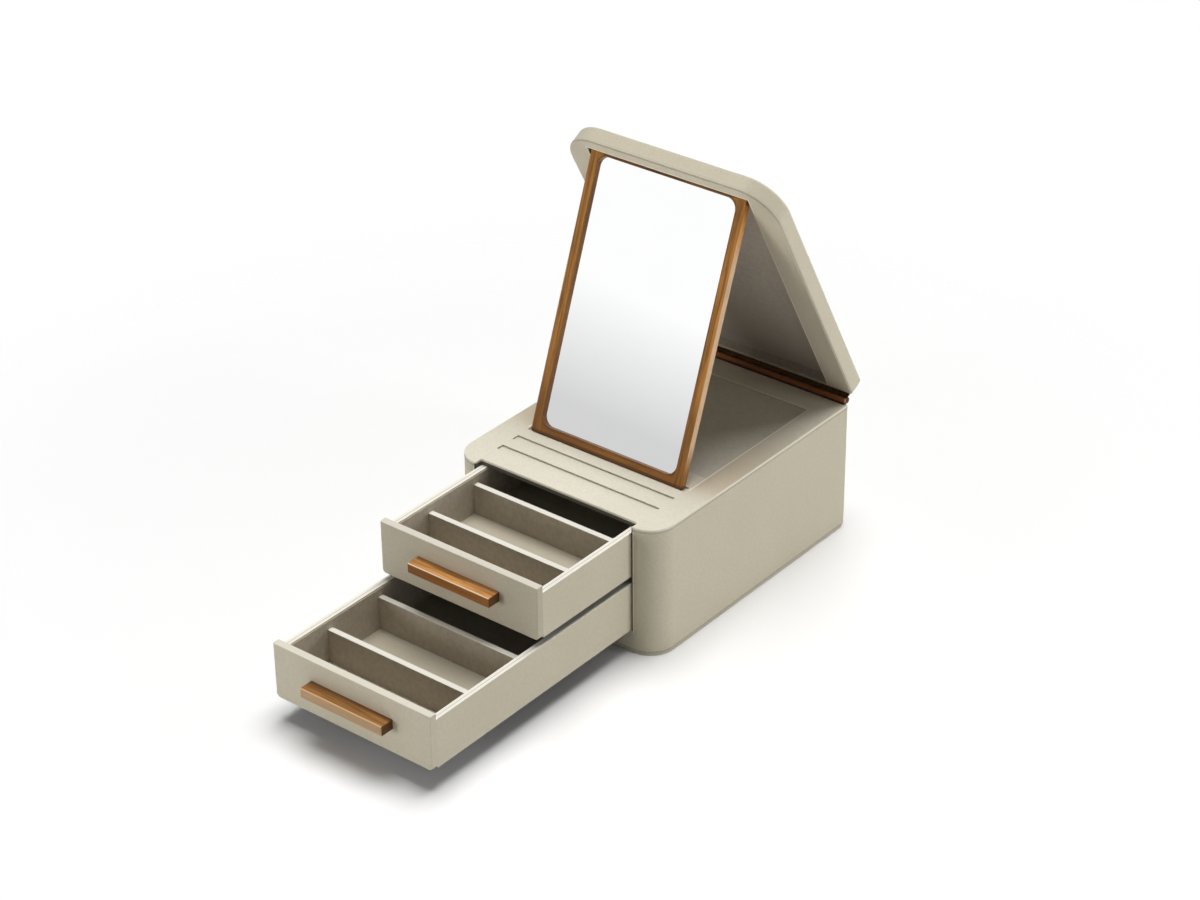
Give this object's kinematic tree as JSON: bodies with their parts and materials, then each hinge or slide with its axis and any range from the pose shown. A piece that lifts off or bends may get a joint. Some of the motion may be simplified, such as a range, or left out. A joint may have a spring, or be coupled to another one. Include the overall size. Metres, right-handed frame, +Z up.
{
  "type": "vanity box with mirror",
  "caption": "Leather-covered vanity box with pull-out divided drawers, walnut bar handles, and a hinged lid propped open by a framed mirror that stands in a groove of the top.",
  "frame": {"origin": "centre of the case's underside, on the felt that it stands on", "axes": "+Z up, -Y towards the drawers' fronts, +X to the right seen from the front"},
  "size_m": [0.2, 0.5109, 0.343],
  "materials": {
    "leather": "fine-grained greige leather",
    "covered_board": "fibreboard covered in greige leather",
    "divider_board": "fibreboard covered in taupe suede with a leather top edge",
    "board": "bare fibreboard",
    "suede": "taupe suede cloth",
    "felt": "dark felt",
    "walnut": "oiled walnut",
    "brass": "satin brass",
    "screw_steel": "plain steel",
    "mirror": "silvered glass",
    "backing": "dark stained backing board"
  },
  "bodies": {
    "case": {"base_felt": "felt", "base_board": "board", "right_post": "board", "left_post": "board", "right_wall": "board", "left_wall": "board", "right_bay_side": "board", "left_bay_side": "board", "back_wall": "board", "mid_shelf": "board", "top_board": "board", "top_cover": "leather", "case_wrap": "leather", "lower_glides": "felt", "upper_glides": "felt", "rear_batten": "walnut", "case_leaf": "brass", "hinge_pin": "brass", "case_leaf_screws": "screw_steel"},
    "lower_drawer": {"lower_panel": "covered_board", "lower_right_side": "covered_board", "lower_left_side": "covered_board", "lower_back": "covered_board", "lower_bottom": "covered_board", "lower_front_divider": "divider_board", "lower_rear_divider": "divider_board", "lower_lining": "suede", "lower_handle": "walnut", "lower_handle_screws": "screw_steel", "lower_guide_pins": "brass"},
    "upper_drawer": {"upper_panel": "covered_board", "upper_right_side": "covered_board", "upper_left_side": "covered_board", "upper_back": "covered_board", "upper_bottom": "covered_board", "upper_front_divider": "divider_board", "upper_rear_divider": "divider_board", "upper_lining": "suede", "upper_handle": "walnut", "upper_handle_screws": "screw_steel", "upper_guide_pins": "brass"},
    "lid": {"lid_panel": "board", "lid_rim_right": "board", "lid_rim_left": "board", "lid_rim_front": "board", "lid_rim_rear": "board", "lid_wrap": "leather", "lid_lining": "suede", "lid_leaf": "brass", "lid_leaf_screws": "screw_steel", "pivot_bushes": "brass"},
    "mirror": {"mirror_frame": "walnut", "mirror_glass": "mirror", "mirror_back": "backing", "mirror_pins": "brass"}
  },
  "joints": [
    {"name": "lower_drawer_slide", "type": "slide", "parent": "case", "child": "lower_drawer", "axis": [0, -1, 0], "range_m": [-0.23, 0]},
    {"name": "upper_drawer_slide", "type": "slide", "parent": "case", "child": "upper_drawer", "axis": [0, -1, 0], "range_m": [-0.11, 0.12]},
    {"name": "lid_hinge", "type": "hinge", "parent": "case", "child": "lid", "pos_m": [0, 0.1286, 0.1144], "axis": [-1, 0, 0], "range_deg": [0, 50]},
    {"name": "mirror_fold", "type": "hinge", "parent": "lid", "child": "mirror", "pos_m": [0, 0.02162, 0.32706], "axis": [-1, 0, 0], "range_deg": [-49.19, 0]}
  ],
  "couplings": [
    {"joint": "mirror_fold", "follows": "lid_hinge", "ratio": -0.98378}
  ]
}
